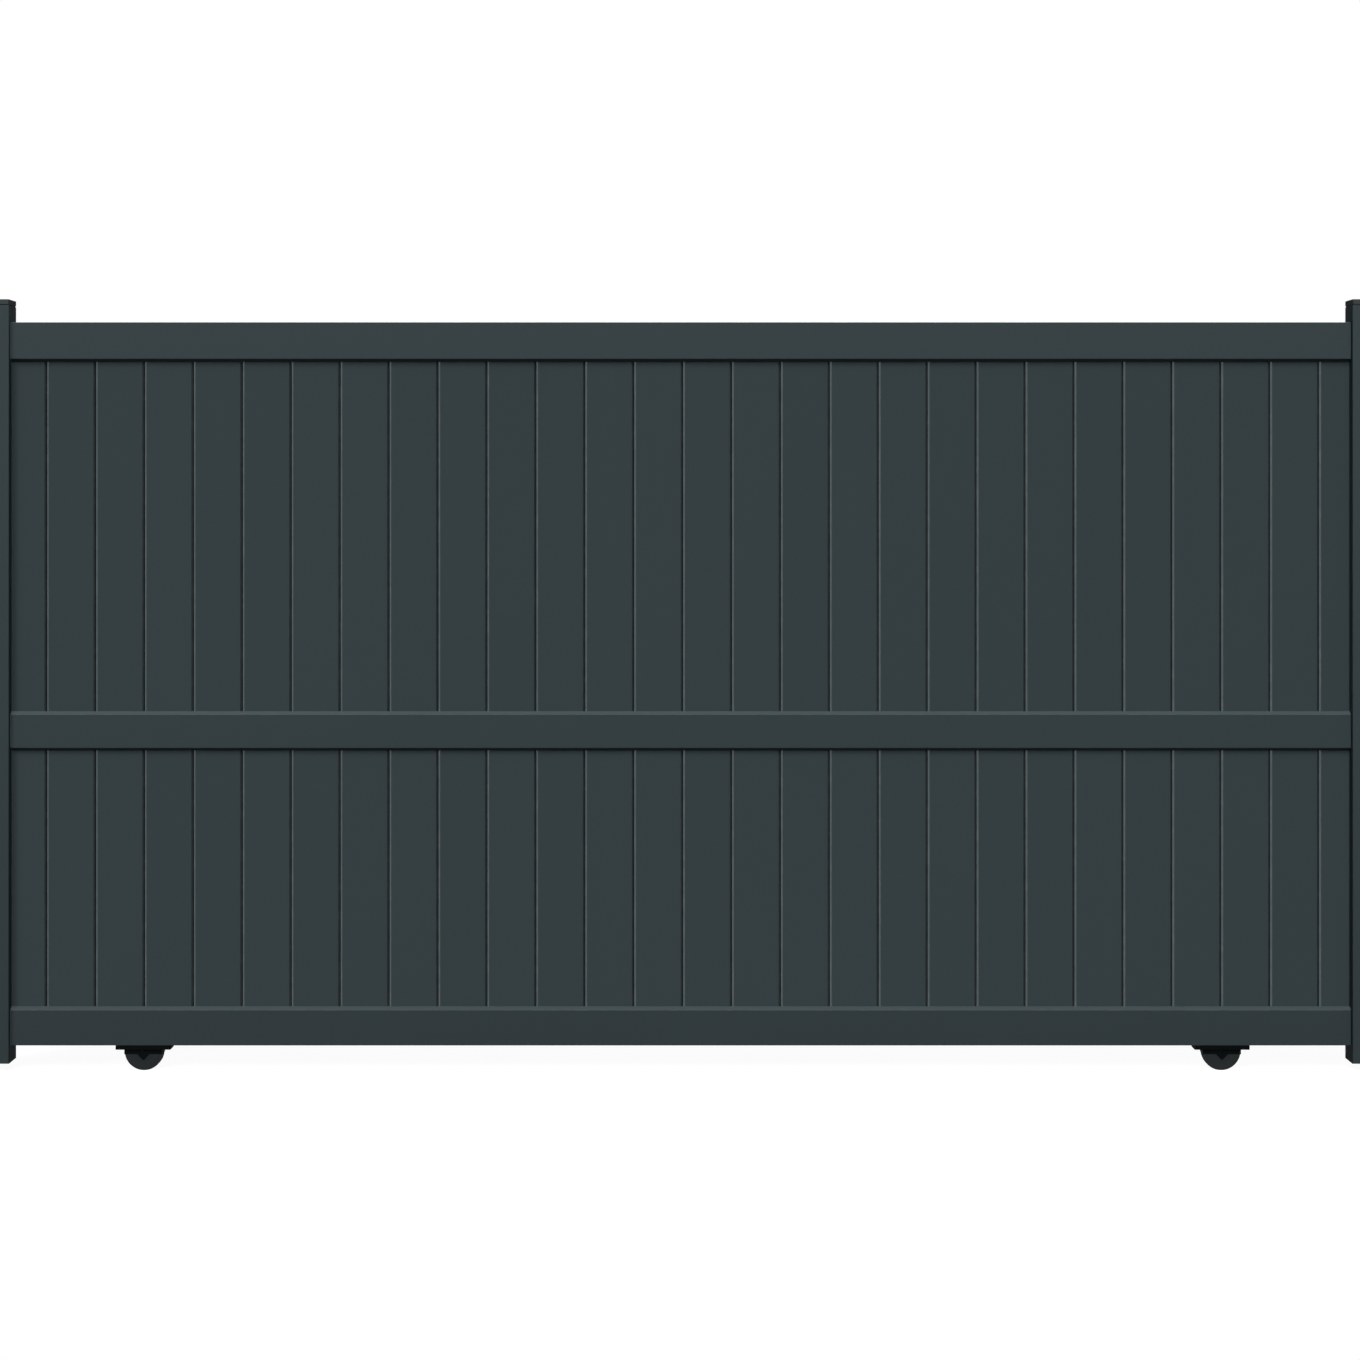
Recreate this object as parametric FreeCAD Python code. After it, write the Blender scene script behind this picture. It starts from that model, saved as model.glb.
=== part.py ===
import FreeCAD, Part
import math
import os

# Sliding driveway gate leaf made of hollow aluminium sections, on two recessed wheels.
# Millimetres. X runs along the leaf to the right, Y from the street side to the back, Z up.
# The origin is the middle of the left stile's outer face, the face that closes on the post.

# Leaf
clear_width = 2767.0         # between the two stiles
lower_panel_height = 528.4   # boards in sight between the bottom and middle rails
upper_panel_height = 721.5   # boards in sight between the middle and top rails

# End stiles
stile_width = 80.0           # along X
stile_depth = 80.0           # along Y
stile_wall = 2.5
stile_corner = 2.0           # outer corner radius
stile_rise = 47.0            # top of the cap above the top rail
stile_drop = 35.6            # foot of the stile below the bottom rail

# Stile caps and foot plugs
cap_height = 10.4            # slab that lies flush with the stile's faces
cap_chamfer = 1.2            # along the cap's top edge
reveal_height = 2.4          # shadow gap between the cap's slab and the stile
reveal_inset = 1.4           # how far the neck in that gap lies behind the stile's faces
spigot_depth = 22.0          # part of the cap inside the stile
plug_depth = 18.0            # foot plug inside the stile
plug_wall = 2.5
insert_play = 0.3            # round a cap's spigot and a foot plug

# Rails
rail_depth = 52.0            # along Y
rail_wall = 2.2
bottom_rail_height = 79.4
middle_rail_height = 81.7
top_rail_height = 81.7
lip_height = 6.2             # slope from a rail's face up to its boards
rail_groove_depth = 16.0
groove_play = 0.3            # each side of a board in a rail's groove
board_headroom = 4.0         # from a board's top end to the floor of the groove above it

# Boards
board_thickness = 24.0
board_pitch = 101.2
board_shift = 4.3            # the row of joints lies this far right of the leaf's middle
least_end_board = 25.0       # the two boards cut to fit share at least twice this width
board_wall = 1.3
board_chambers = 2           # hollows across a whole board, with a web between them
end_board_chambers = 1       # hollows across a board cut to fit
vee_half_width = 4.2         # one flank of the V joint, across the board
vee_depth = 4.0
tongue_thickness = 8.0
tongue_length = 8.0
joint_play = 0.3             # between neighbouring boards
end_play = 0.3               # between the outer boards and the stiles

# Wheels
wheel_radius = 40.0
left_wheel_inset = 273.5     # left wheel's axle from the left stile's inner face
right_wheel_inset = 265.5    # right wheel's axle from the right stile's inner face
track_vee_half_width = 8.0   # groove round the rim that rides on the ground track
track_vee_depth = 7.0
rim_land = 2.0               # rim on each side of the groove

# Bearings and axles
axle_radius = 4.0
bearing_radius = 11.0
running_play = 0.05          # radial, at the axle and round the bearing
bearing_play = 0.3           # from each end of the bearing to its cheek

# Wheel carriers
plate_thickness = 9.0
plate_land = 12.0            # plate beyond each end of the wheel slot
plate_lip = 5.0              # plate beyond each cheek
plate_corner = 3.0
axle_drop = 4.4              # axle below the plate
wheel_clearance = 5.0        # round the wheel in its slot and between its cheeks
cheek_thickness = 5.0
cheek_band = 10.0            # straight part of a cheek below the plate
cheek_inset = 0.6            # ends of a cheek inside the wheel's outline
ear_half_width = 12.4        # ear that holds the axle, where it leaves the band
ear_drop = 17.2              # tip of the ear below the axle
ear_tip = 1.6                # half width of the ear's blunt tip

# Heights above the ground, which the wheels' rims touch
rail_foot = wheel_radius + axle_drop + plate_thickness
lower_panel_foot = rail_foot + bottom_rail_height
middle_rail_foot = lower_panel_foot + lower_panel_height
upper_panel_foot = middle_rail_foot + middle_rail_height
top_rail_foot = upper_panel_foot + upper_panel_height
stile_foot = rail_foot - stile_drop
stile_top = top_rail_foot + top_rail_height + stile_rise
tube_top = stile_top - cap_height - reveal_height
tube_length = tube_top - stile_foot

# Places in the part's own frame
ground = -(stile_foot + tube_top) / 2
left_face = stile_width
right_face = stile_width + clear_width
rail_groove_width = board_thickness + 2 * groove_play
wheel_width = 2 * (track_vee_half_width + rim_land)
slot_width = wheel_width + 2 * wheel_clearance
slot_length = 2 * (wheel_radius + wheel_clearance)
carrier_width = slot_width + 2 * cheek_thickness
axle_height = ground + wheel_radius
plate_foot = ground + rail_foot - plate_thickness


def vector(x, y, z):
    return FreeCAD.Vector(x, y, z)


def outline_face(points):
    return Part.Face(Part.makePolygon(points + points[:1]))


def rounded_slab(center_x, width, depth, corner, foot, height):
    start = vector(center_x - width / 2 + corner, -depth / 2 + corner, foot)
    core = Part.makePlane(width - 2 * corner, depth - 2 * corner, start)
    return core.makeOffset2D(corner).extrude(vector(0, 0, height))


def block(center_x, width, depth, foot, height):
    return Part.makeBox(width, depth, height, vector(center_x - width / 2, -depth / 2, foot))


def turned(points, center_x):
    # profile of (radius, y) points turned about the axle
    section = outline_face([vector(center_x + r, y, axle_height) for r, y in points])
    return section.revolve(vector(center_x, 0, axle_height), vector(0, 1, 0), 360)


def axle_rod(center_x, radius, length):
    # rod on the axle's line, midway between the leaf's two sides
    return Part.makeCylinder(radius, length, vector(center_x, -length / 2, axle_height), vector(0, 1, 0))


def stile(center_x):
    foot = ground + stile_foot
    outside = rounded_slab(center_x, stile_width, stile_depth, stile_corner, foot, tube_length)
    bore_width = stile_width - 2 * stile_wall
    bore_depth = stile_depth - 2 * stile_wall
    return outside.cut(block(center_x, bore_width, bore_depth, foot, tube_length))


def stile_insert(center_x, foot, height, inset):
    # block inside the stile's tube, clear of its walls by the inset
    width = stile_width - 2 * (stile_wall + inset)
    depth = stile_depth - 2 * (stile_wall + inset)
    return block(center_x, width, depth, foot, height)


def stile_cap(center_x):
    seat = ground + tube_top
    slab_foot = seat + reveal_height
    slab = rounded_slab(center_x, stile_width, stile_depth, stile_corner, slab_foot, cap_height)
    top_edges = [e for e in slab.Edges if e.BoundBox.ZMin > slab_foot + cap_height / 2]
    slab = slab.makeChamfer(cap_chamfer, top_edges)
    neck_width = stile_width - 2 * reveal_inset
    neck_depth = stile_depth - 2 * reveal_inset
    neck = block(center_x, neck_width, neck_depth, seat, reveal_height)
    spigot = stile_insert(center_x, seat - spigot_depth, spigot_depth, insert_play)
    return slab.fuse([neck, spigot]).removeSplitter()


def foot_plug(center_x):
    # cup with its closed side down, flush with the stile's lower end
    foot = ground + stile_foot
    outside = stile_insert(center_x, foot, plug_depth, insert_play)
    return outside.cut(stile_insert(center_x, foot + plug_wall, plug_depth, insert_play + plug_wall))


def rail_edge(edge_height, outward, holds_boards):
    # one long edge of a rail from front to back; outward is 1 on top and -1 below
    face = rail_depth / 2
    groove = rail_groove_width / 2
    if not holds_boards:
        return [(-face, edge_height), (face, edge_height)]
    shoulder = edge_height - outward * lip_height
    floor = edge_height - outward * rail_groove_depth
    return [
        (-face, shoulder),
        (-groove, edge_height),
        (-groove, floor),
        (groove, floor),
        (groove, edge_height),
        (face, shoulder),
    ]


def rail(foot, height, boards_below, boards_above):
    upper = rail_edge(ground + foot + height, 1, boards_above)
    lower = rail_edge(ground + foot, -1, boards_below)
    outside = outline_face([vector(left_face, y, z) for y, z in upper + lower[::-1]])
    inside = outside.makeOffset2D(-rail_wall, 2)
    return outside.cut(inside).extrude(vector(clear_width, 0, 0))


def wheel_slot(center_x):
    # room for the upper part of a wheel in its plate and in the rail's lower wall
    return block(center_x, slot_length, slot_width, plate_foot, plate_thickness + 2 * rail_wall)


def board_section(left, right, foot, has_groove, has_tongue, chambers):
    # plan of one board; a side without its tongue or groove is square and closed by a wall
    face = board_thickness / 2
    flank = face - vee_depth
    left_half = [(left, -face)]
    first = left + board_wall
    if has_groove:
        groove = tongue_thickness / 2 + joint_play
        groove_end = left + tongue_length + joint_play
        left_half = [(groove_end, -groove), (left, -groove), (left, -flank), (left + vee_half_width, -face)]
        first = groove_end + board_wall
    right_half = [(right, -face)]
    last = right - board_wall
    if has_tongue:
        tongue = tongue_thickness / 2
        tip = right + tongue_length
        right_half = [(right - vee_half_width, -face), (right, -flank), (right, -tongue), (tip, -tongue)]
        last = right - vee_half_width - board_wall
    front = left_half + right_half
    back = [(x, -y) for x, y in front[::-1]]
    section = outline_face([vector(x, y, foot) for x, y in front + back])
    step = (last - first + board_wall) / chambers
    hollow_depth = board_thickness - 2 * board_wall
    hollows = [
        Part.makePlane(step - board_wall, hollow_depth, vector(first + i * step, -face + board_wall, foot))
        for i in range(chambers)
    ]
    return section.cut(hollows)


def panel(rail_below_top, sight_height):
    # row of whole boards with a board cut to fit at each end, standing in the lower rail's groove
    foot = ground + rail_below_top - rail_groove_depth
    length = sight_height + 2 * rail_groove_depth - board_headroom
    whole = math.floor((clear_width - 2 * least_end_board) / board_pitch)
    end_widths = clear_width - whole * board_pitch
    first_joint = left_face + end_widths / 2 + board_shift
    joints = [first_joint + i * board_pitch for i in range(whole + 1)]
    starts = [left_face + end_play] + [joint + joint_play / 2 for joint in joints]
    ends = [joint - joint_play / 2 for joint in joints] + [right_face - end_play]
    boards = []
    for i, (start, end) in enumerate(zip(starts, ends)):
        has_groove = i > 0
        has_tongue = i <= whole
        chambers = board_chambers if has_groove and has_tongue else end_board_chambers
        section = board_section(start, end, foot, has_groove, has_tongue, chambers)
        boards.append(section.Faces[0].extrude(vector(0, 0, length)))
    return boards


def wheel_carrier(center_x):
    plate_length = slot_length + 2 * plate_land
    plate_width = carrier_width + 2 * plate_lip
    plate = rounded_slab(center_x, plate_length, plate_width, plate_corner, plate_foot, plate_thickness)
    half = wheel_radius - cheek_inset
    band_foot = plate_foot - cheek_band
    tip = axle_height - ear_drop
    outline = [
        (-half, plate_foot),
        (-half, band_foot),
        (-ear_half_width, band_foot),
        (-ear_tip, tip),
        (ear_tip, tip),
        (ear_half_width, band_foot),
        (half, band_foot),
        (half, plate_foot),
    ]
    cheeks = []
    for inner_side in (-slot_width / 2 - cheek_thickness, slot_width / 2):
        face = outline_face([vector(center_x + x, inner_side, z) for x, z in outline])
        cheeks.append(face.extrude(vector(0, cheek_thickness, 0)))
    bore = axle_rod(center_x, axle_radius + running_play, carrier_width)
    return plate.cut(wheel_slot(center_x)).fuse(cheeks).removeSplitter().cut(bore)


def axle(center_x):
    # pin riveted flush with the outer sides of the cheeks
    return axle_rod(center_x, axle_radius, carrier_width)


def bearing(center_x):
    # bush that turns on the axle and keeps the wheel midway between the cheeks
    length = slot_width - 2 * bearing_play
    bush = axle_rod(center_x, bearing_radius, length)
    return bush.cut(axle_rod(center_x, axle_radius + running_play, length))


def wheel(center_x):
    side = wheel_width / 2
    seat = bearing_radius + running_play
    profile = [
        (seat, -side),
        (wheel_radius, -side),
        (wheel_radius, -track_vee_half_width),
        (wheel_radius - track_vee_depth, 0),
        (wheel_radius, track_vee_half_width),
        (wheel_radius, side),
        (seat, side),
    ]
    return turned(profile, center_x)


left_wheel_x = left_face + left_wheel_inset
right_wheel_x = right_face - right_wheel_inset

bottom_rail = rail(rail_foot, bottom_rail_height, False, True)
nodes = {
    "bottom_rail": bottom_rail.cut([wheel_slot(left_wheel_x), wheel_slot(right_wheel_x)]),
    "middle_rail": rail(middle_rail_foot, middle_rail_height, True, True),
    "top_rail": rail(top_rail_foot, top_rail_height, True, False),
}
panels = {
    "lower": panel(lower_panel_foot, lower_panel_height),
    "upper": panel(upper_panel_foot, upper_panel_height),
}
for level, boards in panels.items():
    nodes[level + "_left_end_board"] = boards[0]
    nodes[level + "_boards"] = Part.makeCompound(boards[1:-1])
    nodes[level + "_right_end_board"] = boards[-1]
for side, x in (("left", stile_width / 2), ("right", right_face + stile_width / 2)):
    nodes[side + "_stile"] = stile(x)
    nodes[side + "_stile_cap"] = stile_cap(x)
    nodes[side + "_foot_plug"] = foot_plug(x)
for side, x in (("left", left_wheel_x), ("right", right_wheel_x)):
    nodes[side + "_wheel_carrier"] = wheel_carrier(x)
    nodes[side + "_axle"] = axle(x)
    nodes[side + "_bearing"] = bearing(x)
    nodes[side + "_wheel"] = wheel(x)

os.makedirs("parts", exist_ok=True)
for name, shape in nodes.items():
    shape.exportStep("parts/" + name + ".step")
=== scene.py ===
import math
import bmesh
import bpy
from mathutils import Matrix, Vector


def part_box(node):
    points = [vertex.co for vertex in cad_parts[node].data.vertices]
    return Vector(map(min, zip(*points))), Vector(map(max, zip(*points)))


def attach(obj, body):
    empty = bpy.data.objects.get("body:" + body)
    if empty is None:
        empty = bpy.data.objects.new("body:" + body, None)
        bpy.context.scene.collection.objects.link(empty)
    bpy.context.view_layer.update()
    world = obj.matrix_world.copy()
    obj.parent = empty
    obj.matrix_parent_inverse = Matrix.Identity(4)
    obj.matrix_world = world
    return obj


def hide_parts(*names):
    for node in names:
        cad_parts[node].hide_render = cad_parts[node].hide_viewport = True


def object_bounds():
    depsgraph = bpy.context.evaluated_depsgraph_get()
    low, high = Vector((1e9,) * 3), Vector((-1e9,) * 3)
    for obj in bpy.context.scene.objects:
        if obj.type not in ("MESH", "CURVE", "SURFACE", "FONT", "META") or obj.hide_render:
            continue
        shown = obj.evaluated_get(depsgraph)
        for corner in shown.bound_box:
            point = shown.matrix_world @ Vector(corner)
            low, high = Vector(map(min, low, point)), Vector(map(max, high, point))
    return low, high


# Sliding gate leaf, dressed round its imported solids. Metres, in the solids' own frame.
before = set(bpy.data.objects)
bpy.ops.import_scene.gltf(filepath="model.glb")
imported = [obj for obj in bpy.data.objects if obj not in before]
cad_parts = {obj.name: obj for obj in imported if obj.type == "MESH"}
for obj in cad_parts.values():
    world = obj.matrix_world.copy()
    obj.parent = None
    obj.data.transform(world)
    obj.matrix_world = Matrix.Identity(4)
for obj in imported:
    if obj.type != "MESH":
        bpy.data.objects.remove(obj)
cadBox = [list(corner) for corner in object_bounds()]
leafLow, leafHigh = Vector(cadBox[0]), Vector(cadBox[1])
leafMiddle = (leafLow + leafHigh) / 2
groundZ = leafLow.z
sameSpot = 0.000001          # points closer than this are one


# One socket of a node tree. Arithmetic on it adds Math nodes.
class Wire:
    def __init__(self, tree, socket=None):
        self.tree = tree
        self.socket = socket

    # any node: its settings first, then the values or links of its sockets
    def node(self, kind, settings=None, values=None, out=0):
        made = self.tree.nodes.new(kind)
        for name, value in (settings or {}).items():
            setattr(made, name, value)
        for name, value in (values or {}).items():
            if isinstance(value, Wire):
                self.tree.links.new(value.socket, made.inputs[name])
            else:
                made.inputs[name].default_value = value
        return Wire(self.tree, made.outputs[out] if made.outputs else None)

    # another output of the same node
    def output(self, name):
        return Wire(self.tree, self.socket.node.outputs[name])

    def math(self, operation, *others):
        return self.node("ShaderNodeMath", {"operation": operation}, dict(enumerate((self, *others))))

    def __add__(self, other):
        return self.math("ADD", other)

    def __sub__(self, other):
        return self.math("SUBTRACT", other)

    def __rsub__(self, other):
        return self.node("ShaderNodeMath", {"operation": "SUBTRACT"}, {0: other, 1: self})

    def __mul__(self, other):
        return self.math("MULTIPLY", other)

    __radd__ = __add__
    __rmul__ = __mul__

    # 0 below the first value, 1 above the second, smooth between
    def ramp(self, low, high):
        return self.node(
            "ShaderNodeMapRange",
            {"interpolation_type": "SMOOTHSTEP"},
            {"Value": self, "From Min": low, "From Max": high},
        )

    # clouds of about 0.5, from 0 to 1
    def noise(self, scale, detail=2.0, rough=0.5):
        return self.node(
            "ShaderNodeTexNoise",
            None,
            {"Vector": self, "Scale": scale, "Detail": detail, "Roughness": rough},
        )

    # from the first colour at 0 to the second at 1; a Mix node's colours are its sockets 6 and 7
    def tinted(self, colourA, colourB):
        return self.node("ShaderNodeMix", {"data_type": "RGBA"}, {0: self, 6: colourA, 7: colourB}, 2)


# Materials

def colour(shade, level=1.0):
    return (*[channel * level for channel in shade], 1.0)


def newMaterial(name):
    made = bpy.data.materials.new(name)
    made.use_nodes = True
    made.node_tree.nodes.clear()
    return made, Wire(made.node_tree)


def finishMaterial(pen, values):
    shader = pen.node("ShaderNodeBsdfPrincipled", None, values)
    pen.node("ShaderNodeOutputMaterial", None, {"Surface": shader})


def attribute(pen, name):
    return pen.node("ShaderNodeAttribute", {"attribute_name": name}).output("Fac")


def bumped(pen, strength, height):
    return pen.node("ShaderNodeBump", None, {"Strength": strength, "Distance": 1.0, "Height": height})


coatSet = {
    "swing": 0.25,           # the tone's range, below and above the shade
    "grain": 1300.0,         # fine texture of the powder, per metre
    "grainDepth": 0.00016,
    "grainTone": 0.60,
    "grainGloss": 0.20,
    "peel": 70.0,            # slow waviness of the film, per metre
    "peelDepth": 0.00010,
    "drift": 2.3,            # slow change over the leaf, per metre
    "driftTone": 0.20,
    "driftGloss": 0.10,
    "rub": 48.0,             # patches of wear along the edges, per metre
    "rubFrom": 0.42,
    "rubTo": 0.68,
    "paintedEdgeSheen": 0.35,        # painted highlight on every edge, also between the patches of wear
    "rubGloss": 0.08,
    "bump": 0.55,
    "worn": (0.060, 0.070, 0.073),   # rubbed edges, and the painted highlight along every edge
    "grime": (0.004, 0.005, 0.005),  # painted shade deep in the joints between boards
}


def powderCoat(name, shade, roughness, specular, toneSpread=0.0, fade=0.0, wornLevel=1.0):
    made, pen = newMaterial(name)
    place = pen.node("ShaderNodeTexCoord").output("Object")
    height = pen.node("ShaderNodeSeparateXYZ", None, {"Vector": place}).output("Z")
    grain = place.noise(coatSet["grain"], detail=1.0) - 0.5
    peel = place.noise(coatSet["peel"])
    drift = place.noise(coatSet["drift"], detail=3.0, rough=0.6) - 0.5
    rubbed = place.noise(coatSet["rub"], detail=4.0, rough=0.65).ramp(coatSet["rubFrom"], coatSet["rubTo"])
    # every edge is painted lighter as a highlight, and more so in the patches of wear
    wear = attribute(pen, "edge") * (coatSet["paintedEdgeSheen"] + (1 - coatSet["paintedEdgeSheen"]) * rubbed)
    level = 0.5 + drift * coatSet["driftTone"] + grain * coatSet["grainTone"]
    # the boards' tone differs at random, and the frame is painted lighter with height as painted light
    level = level + attribute(pen, "tone") * toneSpread + height * (fade / (2 * coatSet["swing"]))
    base = level.tinted(colour(shade, 1 - coatSet["swing"]), colour(shade, 1 + coatSet["swing"]))
    base = wear.tinted(base, colour(coatSet["worn"], wornLevel))
    # painted shade: the faces deep in the joints are painted near black
    base = attribute(pen, "deep").tinted(base, colour(coatSet["grime"]))
    gloss = drift * coatSet["driftGloss"] + grain * coatSet["grainGloss"] - wear * coatSet["rubGloss"]
    relief = grain * coatSet["grainDepth"] + peel * coatSet["peelDepth"]
    finishMaterial(pen, {
        "Base Color": base,
        "Roughness": roughness + gloss,
        "Specular IOR Level": specular,
        "Normal": bumped(pen, coatSet["bump"], relief),
    })
    return made


plasticSet = {
    "tones": (0.90, 1.12),   # darkest and lightest, as shares of the shade
    "spark": 1500.0,         # fine texture of the mould, per metre
    "sparkDepth": 0.00008,
    "flow": 26.0,            # slow flow marks, per metre
    "flowDepth": 0.00015,
    "flowTone": 0.70,
    "flowGloss": 0.12,
    "scuff": 90.0,           # scuffed patches, per metre
    "scuffFrom": 0.55,
    "scuffTo": 0.75,
    "scuffLeast": 0.30,      # wear of an edge between the patches
    "scuffTone": 0.12,
    "scuffGloss": 0.06,
    "worn": 1.50,            # rubbed edges, as a share of the shade
    "specular": 0.20,
    "bump": 0.50,
}


def mouldedPlastic(name, shade, roughness):
    made, pen = newMaterial(name)
    place = pen.node("ShaderNodeTexCoord").output("Object")
    spark = place.noise(plasticSet["spark"], detail=1.0)
    flow = place.noise(plasticSet["flow"], detail=3.0, rough=0.6) - 0.5
    scuff = place.noise(plasticSet["scuff"], detail=5.0, rough=0.7)
    scuff = scuff.ramp(plasticSet["scuffFrom"], plasticSet["scuffTo"])
    wear = attribute(pen, "edge") * (plasticSet["scuffLeast"] + (1 - plasticSet["scuffLeast"]) * scuff)
    level = 0.5 + flow * plasticSet["flowTone"] + scuff * plasticSet["scuffTone"]
    dark, light = plasticSet["tones"]
    base = level.tinted(colour(shade, dark), colour(shade, light))
    base = wear.tinted(base, colour(shade, plasticSet["worn"]))
    relief = spark * plasticSet["sparkDepth"] + flow * plasticSet["flowDepth"]
    finishMaterial(pen, {
        "Base Color": base,
        "Roughness": roughness + flow * plasticSet["flowGloss"] + scuff * plasticSet["scuffGloss"],
        "Specular IOR Level": plasticSet["specular"],
        "Normal": bumped(pen, plasticSet["bump"], relief),
    })
    return made


steelSet = {
    "tones": (0.82, 1.12),   # darkest and lightest, as shares of the shade
    "lathe": 160.0,          # turning marks, per metre
    "latheAlong": 14.0,      # how much finer they are along an axle
    "latheDepth": 0.00006,
    "bloom": 210.0,          # clouds in the plating, per metre
    "bloomTone": 0.90,
    "bloomGloss": 0.22,
    "bump": 0.40,
}


def platedSteel(name, shade, roughness):
    made, pen = newMaterial(name)
    place = pen.node("ShaderNodeTexCoord").output("Object")
    stretch = (1.0, steelSet["latheAlong"], 1.0)
    turning = pen.node("ShaderNodeMapping", None, {"Vector": place, "Scale": stretch})
    lathe = turning.noise(steelSet["lathe"])
    bloom = place.noise(steelSet["bloom"], detail=4.0, rough=0.6) - 0.5
    level = 0.5 + bloom * steelSet["bloomTone"]
    dark, light = steelSet["tones"]
    finishMaterial(pen, {
        "Base Color": level.tinted(colour(shade, dark), colour(shade, light)),
        "Metallic": 1.0,
        "Roughness": roughness + bloom * steelSet["bloomGloss"],
        "Normal": bumped(pen, steelSet["bump"], lathe * steelSet["latheDepth"]),
    })
    return made


gateLook = {"shade": (0.0355, 0.0510, 0.0556), "roughness": 0.74, "specular": 0.16}
boardLook = {**gateLook, "toneSpread": 0.05}   # each board differs a little
frameLook = {**gateLook, "fade": 0.20}         # painted light: lighter towards the top, per metre
# the wheels take the gate's anthracite painted about half as dark, as painted shade under the bottom rail
shadedWheelLook = {"shade": (0.0190, 0.0250, 0.0275), "roughness": 0.60, "specular": 0.12, "wornLevel": 0.50}
carrierLook = {"shade": (0.0022, 0.0036, 0.0038), "roughness": 0.66, "specular": 0.04, "wornLevel": 0.12}
capLook = {"shade": (0.043, 0.053, 0.055), "roughness": 0.70}
plugLook = {"shade": (0.012, 0.013, 0.014), "roughness": 0.62}
pinLook = {"shade": (0.46, 0.46, 0.45), "roughness": 0.34}

boardCoat = powderCoat("boardCoat", **boardLook)
frameCoat = powderCoat("frameCoat", **frameLook)
wheelCoat = powderCoat("wheelCoat", **shadedWheelLook)
carrierCoat = powderCoat("carrierCoat", **carrierLook)
capPlastic = mouldedPlastic("capPlastic", **capLook)
plugPlastic = mouldedPlastic("plugPlastic", **plugLook)
pinSteel = platedSteel("pinSteel", **pinLook)
print("materials:", len(bpy.data.materials))


# Stiles, rails and carriers: the solids' own shapes with softened edges

softSet = {
    "rail": 0.0009,          # how far the sharp edges of each are rounded over
    "stile": 0.0005,
    "cap": 0.0004,
    "plug": 0.0006,
    "carrier": 0.0007,
    "railSteps": 3,
    "steps": 2,              # of all but the rails
    "sharpest": 32.0,        # edges that turn by more degrees than this are rounded
    "flatWithin": 0.5,       # faces that differ by fewer degrees are one
    "weldWithin": 0.00001,
    "capSlab": 0.0100,       # height of a cap's slab in sight
}


def camel(node):
    first, *rest = node.split("_")
    return first + "".join(word.capitalize() for word in rest)


def addPiece(name, mesh, body, slotName, *nodes):
    piece = bpy.data.objects.new(name, mesh)
    bpy.context.scene.collection.objects.link(piece)
    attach(piece, body)
    if nodes:
        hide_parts(*nodes)
    return piece


# rounds the sharp edges and marks the new faces for the wear and the painted highlight in the coat
def roundEdges(bm, width, steps):
    sharpest = math.radians(softSet["sharpest"])
    sharp = [e for e in bm.edges if e.is_manifold and e.calc_face_angle() > sharpest]
    mark = bm.faces.layers.float.new("edge")
    rounded = bmesh.ops.bevel(
        bm, geom=sharp, offset=width, segments=steps, profile=0.5,
        affect="EDGES", clamp_overlap=True,
    )
    for face in rounded["faces"]:
        face[mark] = 1.0


def softenedCopy(node, slotName, material, width, steps=softSet["steps"]):
    bm = bmesh.new()
    bm.from_mesh(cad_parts[node].data)
    bmesh.ops.remove_doubles(bm, verts=bm.verts, dist=softSet["weldWithin"])
    flat = math.radians(softSet["flatWithin"])
    bmesh.ops.dissolve_limit(bm, angle_limit=flat, verts=bm.verts, edges=bm.edges)
    roundEdges(bm, width, steps)
    mesh = bpy.data.meshes.new(camel(node))
    bm.to_mesh(mesh)
    bm.free()
    mesh.materials.clear()
    mesh.materials.append(material)
    return addPiece(camel(node), mesh, "leaf", slotName, node)


# the neck under a cap's slab takes the dark plug plastic, as painted shade in the seam
def paintNeckShade(cap):
    cap.data.materials.append(plugPlastic)
    slabFoot = max(v.co.z for v in cap.data.vertices) - softSet["capSlab"]
    for face in cap.data.polygons:
        if face.center.z < slabFoot:
            face.material_index = 1


for railNode in ("bottom_rail", "middle_rail", "top_rail"):
    softenedCopy(railNode, "anthracite_coat", frameCoat, softSet["rail"], softSet["railSteps"])
for side in ("left", "right"):
    softenedCopy(side + "_stile", "anthracite_coat", frameCoat, softSet["stile"])
    paintNeckShade(softenedCopy(side + "_stile_cap", "cap_plastic", capPlastic, softSet["cap"]))
    softenedCopy(side + "_foot_plug", "plug_plastic", plugPlastic, softSet["plug"])
    softenedCopy(side + "_wheel_carrier", "black_carrier", carrierCoat, softSet["carrier"])
print("frame members softened")


# Geometry trees

def newTree(name, inputs):
    tree = bpy.data.node_groups.new(name, "GeometryNodeTree")
    tree.interface.new_socket(name="Geometry", in_out="OUTPUT", socket_type="NodeSocketGeometry")
    for label, kind in inputs.items():
        tree.interface.new_socket(name=label, in_out="INPUT", socket_type="NodeSocket" + kind)
    return tree, Wire(tree).node("NodeGroupInput")


def joined(pen, *parts):
    made = pen.node("GeometryNodeJoinGeometry")
    for part in parts:
        pen.tree.links.new(part.socket, made.socket.node.inputs[0])
    return made


# parts that meet edge to edge, as one shell
def welded(pen, *parts):
    return pen.node("GeometryNodeMergeByDistance", None, {
        "Geometry": joined(pen, *parts), "Distance": sameSpot,
    })


def drawnOut(pen, mesh, offset, selection=True):
    return pen.node("GeometryNodeExtrudeMesh", {"mode": "FACES"}, {
        "Mesh": mesh, "Selection": selection, "Offset": offset, "Offset Scale": 1.0, "Individual": False,
    })


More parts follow.
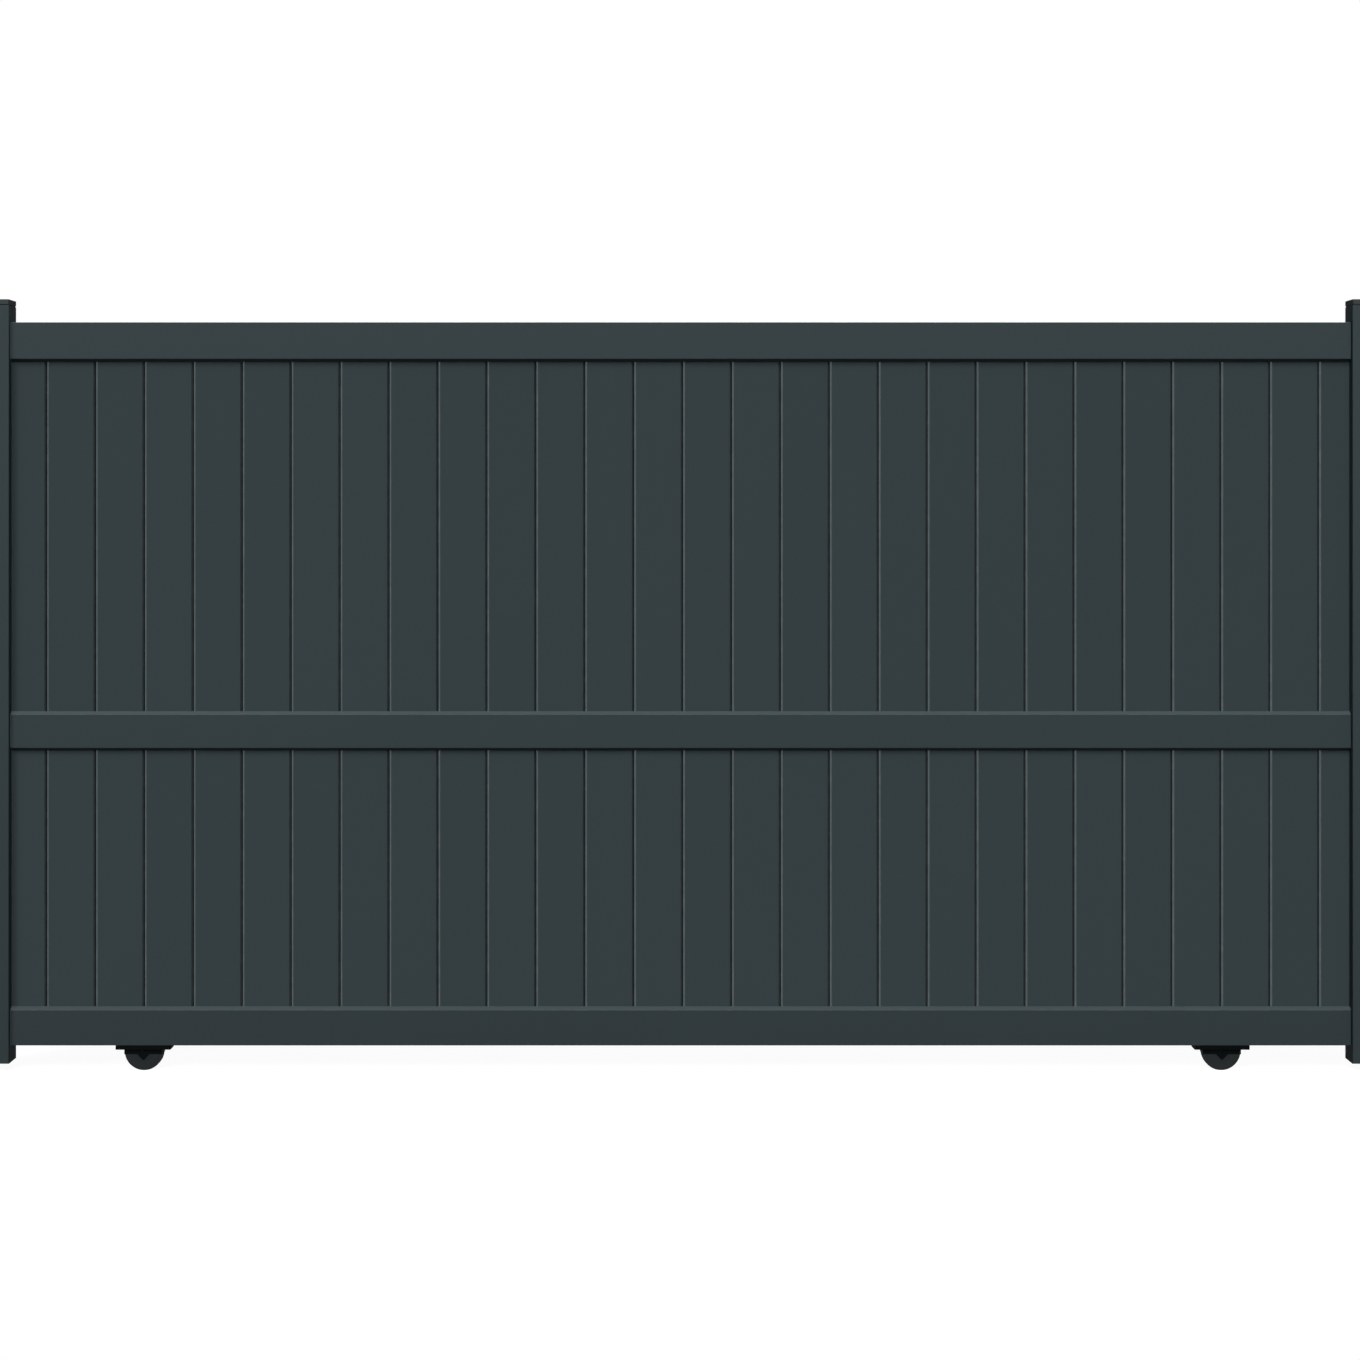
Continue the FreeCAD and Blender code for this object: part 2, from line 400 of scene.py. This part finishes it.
def marked(pen, geometry, domain, name, value):
    return pen.node("GeometryNodeStoreNamedAttribute", {"data_type": "FLOAT", "domain": domain}, {
        "Geometry": geometry, "Name": name, "Value": value,
    })


# a number for each instance; sockets 2 and 3 are the ends of a float's range
def randomNumber(pen, low, high, seed):
    return pen.node("FunctionNodeRandomValue", {"data_type": "FLOAT"}, {2: low, 3: high, "Seed": seed}, 1)


def endTree(pen, instances, material):
    plain = pen.node("GeometryNodeRealizeInstances", None, {"Geometry": instances})
    dressed = pen.node("GeometryNodeSetMaterial", None, {"Geometry": plain, "Material": material})
    pen.node("NodeGroupOutput", None, {"Geometry": dressed})


# runs a tree with these inputs and gives its result as a plain mesh
def runTree(name, tree, inputs):
    holder = bpy.data.objects.new(name + "Holder", bpy.data.meshes.new(name + "Holder"))
    bpy.context.scene.collection.objects.link(holder)
    modifier = holder.modifiers.new("nodes", "NODES")
    modifier.node_group = tree
    sockets = {s.name: s.identifier for s in tree.interface.items_tree if s.in_out == "INPUT"}
    for label, value in inputs.items():
        modifier[sockets[label]] = value
    evaluated = holder.evaluated_get(bpy.context.evaluated_depsgraph_get())
    mesh = bpy.data.meshes.new_from_object(evaluated)
    mesh.name = name
    holder.modifiers.remove(modifier)
    bpy.data.objects.remove(holder)
    return mesh


# Boards: one section, drawn out and repeated by nodes

boardSet = {
    "veeHalfWidth": 0.0040,
    "veeDepth": 0.0040,
    "rootGap": 0.0011,       # open slot at the foot of the V
    "tongueThickness": 0.008,
    "tongueLength": 0.008,
    "play": 0.0003,          # between neighbouring boards
    "edgeRadius": 0.0008,
    "edgeSteps": 3,
    "squareFrom": 0.995,     # a face that looks along an axis by less than this is slanted
    "wholeBoards": 26,
    "seed": 7,
}


def boardSection(name, left, right, face, cutLeft, cutRight):
    tongue = boardSet["tongueThickness"] / 2
    groove = tongue + boardSet["play"]
    vee, flank = boardSet["veeHalfWidth"], face - boardSet["veeDepth"]
    tip = right + boardSet["tongueLength"]
    root = left + boardSet["tongueLength"] + boardSet["play"]
    slotLeft = right - boardSet["rootGap"] / 2
    slotRight = left + boardSet["rootGap"] / 2
    rightHalf = [(right - vee, -face), (slotLeft, -flank), (slotLeft, -tongue), (tip, -tongue)]
    leftHalf = [(left + vee, -face), (slotRight, -flank), (slotRight, -groove), (root, -groove)]
    if cutRight:
        rightHalf = [(right, -face)]
    if cutLeft:
        leftHalf = [(left, -face)]
    front = leftHalf[::-1] + rightHalf
    points = front + [(x, -y) for x, y in front[::-1]]
    curve = bpy.data.curves.new(name, "CURVE")
    curve.dimensions = "3D"
    line = curve.splines.new("POLY")
    line.points.add(len(points) - 1)
    for point, (x, y) in zip(line.points, points):
        point.co = (x, y, 0, 1)
    line.use_cyclic_u = True
    section = bpy.data.objects.new(name, curve)
    bpy.context.scene.collection.objects.link(section)
    return section


def boardRowTree():
    tree, given = newTree("boardRow", {
        "Section": "Object", "Boards": "Int", "Pitch": "Float", "Foot": "Float", "Length": "Float",
        "Edge radius": "Float", "Edge steps": "Int", "Square from": "Float", "Deep within": "Float",
        "Seed": "Int", "Material": "Material",
    })
    section = given.node("GeometryNodeObjectInfo", {"transform_space": "ORIGINAL"}, {
        "Object": given.output("Section"),
    }).output("Geometry")
    rounded = given.node("GeometryNodeFilletCurve", {"mode": "POLY"}, {
        "Curve": section, "Radius": given.output("Edge radius"), "Count": given.output("Edge steps"),
        "Limit Radius": True,
    })
    end = given.node("GeometryNodeFillCurve", {"mode": "NGONS"}, {"Curve": rounded})
    rise = given.node("ShaderNodeCombineXYZ", None, {"Z": given.output("Length")})
    foot = given.node("GeometryNodeFlipFaces", None, {"Mesh": end})
    board = welded(given, drawnOut(given, end, rise), foot)
    # the faces that look along none of the axes are the rounded and slanted edges
    facing = given.node("ShaderNodeSeparateXYZ", None, {"Vector": given.node("GeometryNodeInputNormal")})
    square = facing.math("ABSOLUTE").math("MAXIMUM", facing.output("Y").math("ABSOLUTE"))
    square = square.math("MAXIMUM", facing.output("Z").math("ABSOLUTE"))
    board = marked(given, board, "FACE", "edge", square.math("LESS_THAN", given.output("Square from")))
    # and the faces behind the V's foot hold the painted shade
    spot = given.node("ShaderNodeSeparateXYZ", None, {"Vector": given.node("GeometryNodeInputPosition")})
    depth = spot.output("Y").math("ABSOLUTE")
    board = marked(given, board, "FACE", "deep", depth.math("LESS_THAN", given.output("Deep within")))
    start = given.node("ShaderNodeCombineXYZ", None, {"Z": given.output("Foot")})
    step = given.node("ShaderNodeCombineXYZ", None, {"X": given.output("Pitch")})
    spots = given.node("GeometryNodeMeshLine", {"mode": "OFFSET"}, {
        "Count": given.output("Boards"), "Start Location": start, "Offset": step,
    })
    row = given.node("GeometryNodeInstanceOnPoints", None, {"Points": spots, "Instance": board})
    tone = randomNumber(given, -1.0, 1.0, given.output("Seed"))
    endTree(given, marked(given, row, "INSTANCE", "tone", tone), given.output("Material"))
    return tree


boardRow = boardRowTree()
wholeLow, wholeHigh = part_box("upper_boards")
rowLength = wholeHigh.x - wholeLow.x - boardSet["tongueLength"] + boardSet["play"]
boardPitch = rowLength / boardSet["wholeBoards"]
for levelNumber, level in enumerate(("lower", "upper")):
    for kind in ("left_end_board", "boards", "right_end_board"):
        node = level + "_" + kind
        low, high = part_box(node)
        cutLeft, cutRight = kind.startswith("left"), kind.startswith("right")
        isRow = kind == "boards"
        right = low.x + boardPitch - boardSet["play"]
        if not isRow:
            right = high.x - (0 if cutRight else boardSet["tongueLength"])
        section = boardSection(node + "Section", low.x, right, high.y, cutLeft, cutRight)
        mesh = runTree(camel(node), boardRow, {
            "Section": section,
            "Boards": boardSet["wholeBoards"] if isRow else 1,
            "Pitch": boardPitch,
            "Foot": low.z,
            "Length": high.z - low.z,
            "Edge radius": boardSet["edgeRadius"],
            "Edge steps": boardSet["edgeSteps"],
            "Square from": boardSet["squareFrom"],
            "Deep within": high.y - boardSet["veeDepth"],
            "Seed": boardSet["seed"] + levelNumber,
            "Material": boardCoat,
        })
        bpy.data.objects.remove(section)
        addPiece(camel(node), mesh, "leaf", "anthracite_coat", node)
        print("board row:", node, len(mesh.polygons), "faces")


# Wheels, bushes and pins: turned profiles

wheelSet = {
    "segments": 128,
    "rimRound": 0.0009,
    "rimBulge": 0.3,         # where the rounding's middle point lies, as a share of its size
    "faceDish": 0.0005,      # how far the side lies back between its two rings
    "hubRing": 0.0155,
    "rimRing": 0.0335,
    "ringTop": 0.0006,       # from a ring's radius to the start of its slope
    "ringFoot": 0.0012,      # and to the end of it
    "boreChamfer": 0.0005,
    "veeHalfWidth": 0.0080,
    "veeDepth": 0.0068,
    "veeFoot": 0.0004,       # half width of the groove's floor
}
bushSet = {
    "segments": 64,
    "chamfer": 0.0007,
    "play": 0.00005,         # round the pin, and between bush and wheel
}
pinSet = {
    "segments": 48,
    "proud": 0.0007,         # crown of a riveted end
    "crownWidth": 0.6,       # its shoulder, as shares of the pin's radius and of the crown
    "crownHeight": 0.8,
    "cornerDrop": 0.00032,
}
turnSet = {
    "sharpest": 28.0,        # edges that turn by more degrees than this stay sharp
    "slantFrom": 0.00005,    # a short face that slants by more than this is an edge
    "edgeWithin": 0.0016,
}


def isEdge(r0, y0, r1, y1):
    slant = min(abs(r1 - r0), abs(y1 - y0))
    return slant > turnSet["slantFrom"] and math.hypot(r1 - r0, y1 - y0) < turnSet["edgeWithin"]


# closed profile of (radius, y) points turned about an axle along Y
def turnedMesh(name, profile, segments, axle, material):
    bm = bmesh.new()
    mark = bm.faces.layers.float.new("edge")
    rings = []
    for i in range(segments):
        turn = 2 * math.pi * i / segments
        rings.append([
            bm.verts.new((axle.x + r * math.cos(turn), y, axle.z + r * math.sin(turn))) for r, y in profile
        ])
    count = len(profile)
    for i in range(segments):
        here, there = rings[i], rings[(i + 1) % segments]
        for k in range(count):
            nextK = (k + 1) % count
            face = bm.faces.new((here[k], here[nextK], there[nextK], there[k]))
            face.smooth = True
            face[mark] = 1.0 if isEdge(*profile[k], *profile[nextK]) else 0.0
    bmesh.ops.remove_doubles(bm, verts=bm.verts, dist=sameSpot)
    bare = [e for e in bm.edges if not e.link_faces]  # the axle's own line, where a profile reaches it
    bmesh.ops.delete(bm, geom=bare, context="EDGES")
    bmesh.ops.recalc_face_normals(bm, faces=bm.faces)
    for edge in bm.edges:
        edge.smooth = edge.is_manifold and edge.calc_face_angle() < math.radians(turnSet["sharpest"])
    mesh = bpy.data.meshes.new(name)
    bm.to_mesh(mesh)
    bm.free()
    mesh.materials.append(material)
    return mesh


def mirroredProfile(half):
    return half + [(r, -y) for r, y in half[::-1]]


def wheelProfile(radius, faceY, bore):
    rim, dished = wheelSet["rimRound"], faceY - wheelSet["faceDish"]
    bulge = rim * wheelSet["rimBulge"]
    chamfer = wheelSet["boreChamfer"]
    return mirroredProfile([
        (bore, faceY - chamfer),
        (bore + chamfer, faceY),
        (wheelSet["hubRing"] - wheelSet["ringTop"], faceY),
        (wheelSet["hubRing"] + wheelSet["ringFoot"], dished),
        (wheelSet["rimRing"] - wheelSet["ringFoot"], dished),
        (wheelSet["rimRing"] + wheelSet["ringTop"], faceY),
        (radius - rim, faceY),
        (radius - bulge, faceY - bulge),
        (radius, faceY - rim),
        (radius, wheelSet["veeHalfWidth"]),
        (radius - wheelSet["veeDepth"], wheelSet["veeFoot"]),
    ])


def bushProfile(radius, faceY, bore):
    chamfer = bushSet["chamfer"]
    return mirroredProfile([
        (bore, faceY - chamfer),
        (bore + chamfer, faceY),
        (radius - chamfer, faceY),
        (radius, faceY - chamfer),
    ])


def pinProfile(radius, faceY):
    proud = pinSet["proud"]
    return mirroredProfile([
        (0.0, faceY + proud),
        (radius * pinSet["crownWidth"], faceY + proud * pinSet["crownHeight"]),
        (radius, faceY - pinSet["cornerDrop"]),
    ])


def halfWidth(node):
    low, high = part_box(node)
    return (high.x - low.x) / 2


for side in ("left", "right"):
    low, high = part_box(side + "_wheel")
    axle = (low + high) / 2
    body = side + "_wheel_set"
    bushRadius, pinRadius = halfWidth(side + "_bearing"), halfWidth(side + "_axle")
    profile = wheelProfile(halfWidth(side + "_wheel"), high.y, bushRadius + bushSet["play"])
    mesh = turnedMesh(side + "Wheel", profile, wheelSet["segments"], axle, wheelCoat)
    addPiece(side + "Wheel", mesh, body, "wheel_coat", side + "_wheel")
    profile = bushProfile(bushRadius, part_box(side + "_bearing")[1].y, pinRadius + bushSet["play"])
    mesh = turnedMesh(side + "Bush", profile, bushSet["segments"], axle, pinSteel)
    addPiece(side + "Bush", mesh, body, "plated_steel", side + "_bearing")
    profile = pinProfile(pinRadius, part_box(side + "_axle")[1].y)
    mesh = turnedMesh(side + "Pin", profile, pinSet["segments"], axle, carrierCoat)
    addPiece(side + "Pin", mesh, "leaf", "plated_steel", side + "_axle")
print("wheels turned")


# Screws and weld seams of the wheel carriers

carrierSet = {"plateThickness": 0.009}
screwSet = {
    "headRadius": 0.0045,
    "headSteps": 32,
    "socketRadius": 0.0026,
    "socketSides": 6,
    "headHeight": 0.0008,
    "bevel": 0.93,           # size of a head's face against its rim
    "endInset": 0.006,       # from the ends and sides of the plate
    "sideInset": 0.010,
    "seed": 3,
}
weldSet = {
    "beadRadius": 0.0016,
    "beadSegments": 12,
    "beadRings": 8,
    "pitch": 0.0019,
    "spread": 0.22,          # how much smaller a bead may be
    "growth": 0.3,           # and how much larger, as a share of that
    "endInset": 0.003,
    "seed": 11,
}


# flat head with a socket, hung under each corner of a rectangle
def screwTree():
    tree, given = newTree("plateScrews", {
        "Middle": "Vector", "Length": "Float", "Width": "Float",
        "Head radius": "Float", "Head steps": "Int", "Socket radius": "Float", "Socket sides": "Int",
        "Height": "Float", "Bevel": "Float", "Seed": "Int", "Material": "Material",
    })
    rim = given.node("GeometryNodeCurvePrimitiveCircle", {"mode": "RADIUS"}, {
        "Resolution": given.output("Head steps"), "Radius": given.output("Head radius"),
    })
    socket = given.node("GeometryNodeCurvePrimitiveCircle", {"mode": "RADIUS"}, {
        "Resolution": given.output("Socket sides"), "Radius": given.output("Socket radius"),
    })
    ring = given.node("GeometryNodeFillCurve", {"mode": "NGONS"}, {"Curve": joined(given, rim, socket)})
    under = given.node("GeometryNodeFlipFaces", None, {"Mesh": ring})
    # the straight rim and the bevelled face each take half the height
    sink = given.node("ShaderNodeCombineXYZ", None, {"Z": given.output("Height") * -0.5})
    neck = drawnOut(given, under, sink)
    head = drawnOut(given, neck, sink, neck.output("Top"))
    head = given.node("GeometryNodeScaleElements", {"domain": "FACE"}, {
        "Geometry": head, "Selection": head.output("Top"), "Scale": given.output("Bevel"),
    })
    head = welded(given, head, ring)
    corners = given.node("GeometryNodeMeshGrid", None, {
        "Size X": given.output("Length"), "Size Y": given.output("Width"), "Vertices X": 2, "Vertices Y": 2,
    }).output("Mesh")
    placed = given.node("GeometryNodeTransform", None, {
        "Geometry": corners, "Translation": given.output("Middle"),
    })
    turn = given.node("FunctionNodeRandomValue", {"data_type": "FLOAT_VECTOR"}, {
        0: (0.0, 0.0, 0.0), 1: (0.0, 0.0, 2 * math.pi), "Seed": given.output("Seed"),
    })
    screws = given.node("GeometryNodeInstanceOnPoints", None, {
        "Points": placed, "Instance": head, "Rotation": turn,
    })
    endTree(given, screws, given.output("Material"))
    return tree


# overlapping beads along a line, each a little different
def weldTree():
    tree, given = newTree("weldSeam", {
        "Start": "Vector", "End": "Vector", "Beads": "Int", "Radius": "Float", "Segments": "Int",
        "Rings": "Int", "Spread": "Float", "Growth": "Float", "Seed": "Int", "Material": "Material",
    })
    bead = given.node("GeometryNodeMeshUVSphere", None, {
        "Segments": given.output("Segments"), "Rings": given.output("Rings"),
        "Radius": given.output("Radius"),
    }).output("Mesh")
    bead = given.node("GeometryNodeSetShadeSmooth", None, {"Geometry": bead})
    spots = given.node("GeometryNodeMeshLine", {"mode": "END_POINTS"}, {
        "Count": given.output("Beads"), "Start Location": given.output("Start"),
        "Offset": given.output("End"),
    })
    spread = given.output("Spread")
    size = randomNumber(given, 1 - spread, 1 + spread * given.output("Growth"), given.output("Seed"))
    beads = given.node("GeometryNodeInstanceOnPoints", None, {
        "Points": spots, "Instance": bead, "Scale": size,
    })
    endTree(given, beads, given.output("Material"))
    return tree


plateScrews, weldSeam = screwTree(), weldTree()
for side in ("left", "right"):
    low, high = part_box(side + "_wheel_carrier")
    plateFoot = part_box("bottom_rail")[0].z - carrierSet["plateThickness"]
    mesh = runTree(side + "Screws", plateScrews, {
        "Middle": ((low.x + high.x) / 2, 0.0, plateFoot),
        "Length": high.x - low.x - 2 * screwSet["endInset"],
        "Width": high.y - low.y - 2 * screwSet["sideInset"],
        "Head radius": screwSet["headRadius"],
        "Head steps": screwSet["headSteps"],
        "Socket radius": screwSet["socketRadius"],
        "Socket sides": screwSet["socketSides"],
        "Height": screwSet["headHeight"],
        "Bevel": screwSet["bevel"],
        "Seed": screwSet["seed"],
        "Material": pinSteel,
    })
    addPiece(side + "Screws", mesh, "leaf", "plated_steel")
    wheelLow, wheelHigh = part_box(side + "_wheel")
    start = wheelLow.x + weldSet["endInset"]
    end = wheelHigh.x - weldSet["endInset"]
    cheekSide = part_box(side + "_axle")[1].y
    for seam, face in (("FrontWeld", -1), ("BackWeld", 1)):
        mesh = runTree(side + seam, weldSeam, {
            "Start": (start, face * cheekSide, plateFoot),
            "End": (end, face * cheekSide, plateFoot),
            "Beads": int((end - start) / weldSet["pitch"]),
            "Radius": weldSet["beadRadius"],
            "Segments": weldSet["beadSegments"],
            "Rings": weldSet["beadRings"],
            "Spread": weldSet["spread"],
            "Growth": weldSet["growth"],
            "Seed": weldSet["seed"] + face,
            "Material": carrierCoat,
        })
        addPiece(side + seam, mesh, "leaf", "black_carrier")
print("carriers screwed and welded")


# Stage: floor, world, lamps and camera

stageSet = {
    "floorSize": 160.0,
    "floorShade": 0.06,      # what the floor throws back on the leaf
    "floorWhite": 0.94,      # how pale it is where it is seen
    "fleck": 9.0,            # faint unevenness, per metre
    "fleckTone": 0.04,
    "mirrored": 0.2,         # how white the floor is in a gloss
    "shadowShare": 0.36,     # how much of the leaf's shadow the white floor keeps
    "shadowFrom": 0.78,      # the shadow fades from here, measured from the leaf's middle line
    "shadowReach": 2.6,      # and is gone here
}
skySet = {
    "tint": (0.96, 0.98, 1.0),
    "ambient": 0.04,
    "dimBelow": 0.35,        # a gloss shows white from overhead only
    "whiteAbove": 0.85,
}
plainWhite = (1.0, 1.0, 1.0, 1.0)


# 1 for the rays that see the white background: straight, let through, or mirrored by this share
def seenRays(pen, mirrored):
    path = pen.node("ShaderNodeLightPath")
    seen = path.output("Is Camera Ray").math("MAXIMUM", path.output("Is Glossy Ray") * mirrored)
    return seen.math("MAXIMUM", path.output("Is Transmission Ray"))


def addFloor():
    made, pen = newMaterial("paleFloor")
    place = pen.node("ShaderNodeTexCoord").output("Object")
    fleck = place.noise(stageSet["fleck"], detail=3.0) - 0.5
    flat = pen.node("ShaderNodeSeparateXYZ", None, {"Vector": place})
    beyond = (flat - leafHigh.x).math("MAXIMUM", leafLow.x - flat)
    away = flat.output("Y").math("ABSOLUTE").math("MAXIMUM", beyond)
    faded = away.ramp(stageSet["shadowFrom"], stageSet["shadowReach"])
    share = (1 - faded) * stageSet["shadowShare"]
    seen = seenRays(pen, stageSet["mirrored"])
    shade = stageSet["floorShade"]
    level = fleck * stageSet["fleckTone"] + seen * (stageSet["floorWhite"] - shade) + shade
    grey = pen.node("ShaderNodeCombineColor", None, {"Red": level, "Green": level, "Blue": level})
    matte = pen.node("ShaderNodeBsdfDiffuse", None, {"Color": grey})
    white = pen.node("ShaderNodeEmission", None, {"Color": plainWhite, "Strength": 1.0})
    mixed = pen.node("ShaderNodeMixShader", None, {0: seen * (1 - share), 1: matte, 2: white})
    pen.node("ShaderNodeOutputMaterial", None, {"Surface": mixed})
    half = stageSet["floorSize"] / 2
    corners = [
        (leafMiddle.x + across * half, along * half, groundZ)
        for across, along in ((-1, -1), (1, -1), (1, 1), (-1, 1))
    ]
    mesh = bpy.data.meshes.new("floor")
    mesh.from_pydata(corners, [], [(0, 1, 2, 3)])
    mesh.materials.append(made)
    floor = bpy.data.objects.new("floor", mesh)
    bpy.context.scene.collection.objects.link(floor)


def addWorld():
    sky = bpy.data.worlds.new("studioSky")
    sky.use_nodes = True
    sky.node_tree.nodes.clear()
    pen = Wire(sky.node_tree)
    ray = pen.node("ShaderNodeTexCoord").output("Generated")
    height = pen.node("ShaderNodeSeparateXYZ", None, {"Vector": ray}).output("Z")
    overhead = height.ramp(skySet["dimBelow"], skySet["whiteAbove"])
    dim = pen.node("ShaderNodeBackground", None, {
        "Color": colour(skySet["tint"]), "Strength": skySet["ambient"],
    })
    white = pen.node("ShaderNodeBackground", None, {"Color": plainWhite, "Strength": 1.0})
    mixed = pen.node("ShaderNodeMixShader", None, {0: seenRays(pen, overhead), 1: dim, 2: white})
    pen.node("ShaderNodeOutputWorld", None, {"Surface": mixed})
    bpy.context.scene.world = sky


# azimuth from the front towards the left, elevation and spread in degrees
lampSet = {
    "key": {"azimuth": 12, "elevation": 38, "spread": 40, "strength": 2.18, "shadow": True},
    "edge": {"azimuth": 80, "elevation": 38, "spread": 20, "strength": 4.6, "shadow": False},
    "tailFill": {"azimuth": -40, "elevation": 25, "spread": 20, "strength": 3.32, "shadow": False},
    "wheelFill": {"azimuth": 0, "elevation": 5, "spread": 20, "strength": 1.7, "shadow": False},
    "back": {"azimuth": 180, "elevation": 35, "spread": 10, "strength": 2.4, "shadow": True},
}
lampDistance = 8.0
tailPieces = ("rightStile", "rightStileCap", "rightFootPlug")
wheelPieces = ("leftWheel", "rightWheel")


def aimed(obj, place, target):
    obj.location = place
    obj.rotation_euler = (target - place).to_track_quat("-Z", "Y").to_euler()
    bpy.context.scene.collection.objects.link(obj)


# keeps a lamp off these pieces, or on them alone
def linkLamp(lampName, state, *pieces):
    group = bpy.data.collections.new(lampName + "Pieces")
    for name in pieces:
        group.objects.link(bpy.data.objects[name])
    for member in group.collection_objects:
        member.light_linking.link_state = state
    bpy.data.objects[lampName].light_linking.receiver_collection = group


def addLamps():
    for name, lamp in lampSet.items():
        data = bpy.data.lights.new(name, "SUN")
        data.use_shadow = lamp["shadow"]
        data.angle = math.radians(lamp["spread"])
        data.energy = lamp["strength"]
        turn, rise = math.radians(lamp["azimuth"]), math.radians(lamp["elevation"])
        level = math.cos(rise)
        away = Vector((-math.sin(turn) * level, -math.cos(turn) * level, math.sin(rise)))
        aimed(bpy.data.objects.new(name, data), leafMiddle + away * lampDistance, leafMiddle)
    # the tail stile has a lamp of its own, which leaves its inner side in shade,
    # and so have the wheels, to be lit evenly with no shadow of their carriers
    linkLamp("key", "EXCLUDE", *tailPieces, *wheelPieces)
    linkLamp("edge", "EXCLUDE", *tailPieces, *wheelPieces)
    linkLamp("tailFill", "INCLUDE", *tailPieces)
    linkLamp("wheelFill", "INCLUDE", *wheelPieces)
    # the leaf's shadow falls to the back only
    linkLamp("back", "EXCLUDE", "floor")


cameraSet = {
    "distance": 7.434,       # from the leaf's middle plane
    "height": 0.370,
    "lens": 95.01,
    "sensor": 36.0,
    "shiftAcross": -0.0005,
    "shiftDown": -0.1287,
}


def addCamera():
    data = bpy.data.cameras.new("camera")
    data.sensor_width = cameraSet["sensor"]
    data.lens = cameraSet["lens"]
    data.shift_x = cameraSet["shiftAcross"]
    data.shift_y = cameraSet["shiftDown"]
    camera = bpy.data.objects.new("camera", data)
    eye = Vector((leafMiddle.x, -cameraSet["distance"], cameraSet["height"]))
    aimed(camera, eye, eye + Vector((0, 1, 0)))
    bpy.context.scene.camera = camera


addFloor()
addWorld()
addLamps()
addCamera()
bpy.context.scene.view_settings.view_transform = "Standard"
print("stage set")

bpy.context.view_layer.update()
